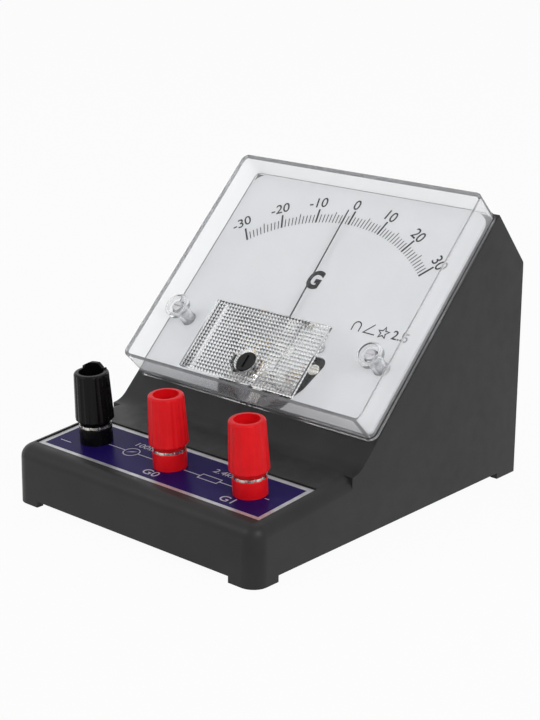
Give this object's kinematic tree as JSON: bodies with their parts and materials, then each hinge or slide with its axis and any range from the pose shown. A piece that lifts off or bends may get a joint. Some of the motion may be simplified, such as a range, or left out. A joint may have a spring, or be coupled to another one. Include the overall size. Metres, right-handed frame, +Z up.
{
  "type": "galvanometer",
  "caption": "Desk galvanometer with a wedge-shaped case, a centre-zero dial under a clear hood and screw terminals on a sloping deck.",
  "frame": {"origin": "on the bench, under the middle of the case", "axes": "+Z up, front and terminals towards -Y, dial facing -Y and up, +X to the reader's right"},
  "size_m": [0.1, 0.129, 0.0965],
  "materials": {
    "black_case": "satin moulded plastic",
    "black_plastic": "smooth moulded plastic",
    "red_plastic": "glossy moulded plastic",
    "black_cap": "glossy moulded plastic",
    "clear_plastic": "clear moulded plastic",
    "label": "printed aluminium, blue field with a silver border",
    "dial": "light grey paint with black marks",
    "needle": "black lacquer",
    "steel": "zinc plated",
    "nickel": "nickel plated",
    "brass": "plain brass",
    "plated_brass": "nickel-plated brass",
    "iron": "soft iron",
    "magnet": "cast magnet alloy",
    "aluminium": "thin sheet",
    "copper": "enamelled copper wire",
    "bronze": "phosphor bronze ribbon",
    "fibre": "vulcanised fibre",
    "resistor": "lacquered body",
    "wire": "sleeved wire"
  },
  "bodies": {
    "chassis": {"case_shell": "black_case", "bottom_cover": "black_case", "bottom_screws": "steel", "label_plate": "label", "clear_cover": "clear_plastic", "cover_screws": "steel", "dial_plate": "dial", "dial_screws": "steel", "pointer_stops": "brass", "resistor": "resistor", "left_lead_wire": "wire", "middle_lead_wire": "wire", "movement_frame": "black_plastic", "movement_screws": "nickel", "yoke_ring": "iron", "core_magnet": "magnet", "front_core_strap": "plated_brass", "rear_core_strap": "plated_brass", "strap_screws": "steel", "front_bridge": "plated_brass", "rear_bridge": "plated_brass", "bridge_screws": "steel", "front_jewel_screw": "plated_brass", "rear_jewel_screw": "brass", "jewel_lock_nuts": "brass", "rear_spring_anchor": "brass", "anchor_insulator": "fibre", "terminal_washers": "fibre", "solder_tags": "brass", "terminal_nuts": "nickel", "left_collar": "black_cap", "left_stud": "nickel", "middle_collar": "red_plastic", "middle_stud": "nickel", "right_collar": "red_plastic", "right_stud": "nickel"},
    "moving_coil": {"coil_former": "aluminium", "coil_winding": "copper", "front_pivot": "steel", "rear_pivot": "steel", "front_hairspring": "bronze", "rear_hairspring": "bronze", "pointer": "needle", "balance_weights": "brass"},
    "zero_adjuster": {"zero_adjuster": "black_plastic", "adjuster_clip": "steel"},
    "regulator": {"regulator_arm": "plated_brass"},
    "left_clamp": {"left_clamp_ring": "nickel"},
    "left_cap": {"left_cap": "black_cap"},
    "middle_clamp": {"middle_clamp_ring": "nickel"},
    "middle_cap": {"middle_cap": "red_plastic"},
    "right_clamp": {"right_clamp_ring": "nickel"},
    "right_cap": {"right_cap": "red_plastic"}
  },
  "joints": [
    {"name": "pointer_swing", "type": "hinge", "parent": "chassis", "child": "moving_coil", "pos_m": [0, -0.00129, 0.03981], "axis": [0, -0.7071, 0.7071], "range_deg": [-46.5, 43.5], "stiffness_Nm_per_rad": 0.00002, "deforming": ["front_hairspring", "rear_hairspring"]},
    {"name": "zero_adjust", "type": "hinge", "parent": "chassis", "child": "zero_adjuster", "pos_m": [0, -0.01374, 0.0449], "axis": [0, -0.7071, 0.7071], "range_deg": [-45, 45]},
    {"name": "regulator_turn", "type": "hinge", "parent": "chassis", "child": "regulator", "pos_m": [0, -0.00614, 0.04465], "axis": [0, -0.7071, 0.7071], "range_deg": [-6.2, 6.2]},
    {"name": "left_clamp_lift", "type": "slide", "parent": "chassis", "child": "left_clamp", "axis": [0, -0.083, 0.9965], "range_m": [0, 0.005]},
    {"name": "left_cap_turn", "type": "hinge", "parent": "left_clamp", "child": "left_cap", "pos_m": [-0.032, -0.04698, 0.02554], "axis": [0, -0.083, 0.9965], "range_deg": [0, 1800]},
    {"name": "middle_clamp_lift", "type": "slide", "parent": "chassis", "child": "middle_clamp", "axis": [0, -0.083, 0.9965], "range_m": [0, 0.005]},
    {"name": "middle_cap_turn", "type": "hinge", "parent": "middle_clamp", "child": "middle_cap", "pos_m": [0, -0.04698, 0.02554], "axis": [0, -0.083, 0.9965], "range_deg": [0, 1800]},
    {"name": "right_clamp_lift", "type": "slide", "parent": "chassis", "child": "right_clamp", "axis": [0, -0.083, 0.9965], "range_m": [0, 0.005]},
    {"name": "right_cap_turn", "type": "hinge", "parent": "right_clamp", "child": "right_cap", "pos_m": [0.032, -0.04698, 0.02554], "axis": [0, -0.083, 0.9965], "range_deg": [0, 1800]}
  ],
  "couplings": [
    {"joint": "regulator_turn", "follows": "zero_adjust", "ratio": 0.13333},
    {"joint": "left_cap_turn", "follows": "left_clamp_lift", "rad_per_m": 6283.2},
    {"joint": "middle_cap_turn", "follows": "middle_clamp_lift", "rad_per_m": 6283.2},
    {"joint": "right_cap_turn", "follows": "right_clamp_lift", "rad_per_m": 6283.2}
  ]
}
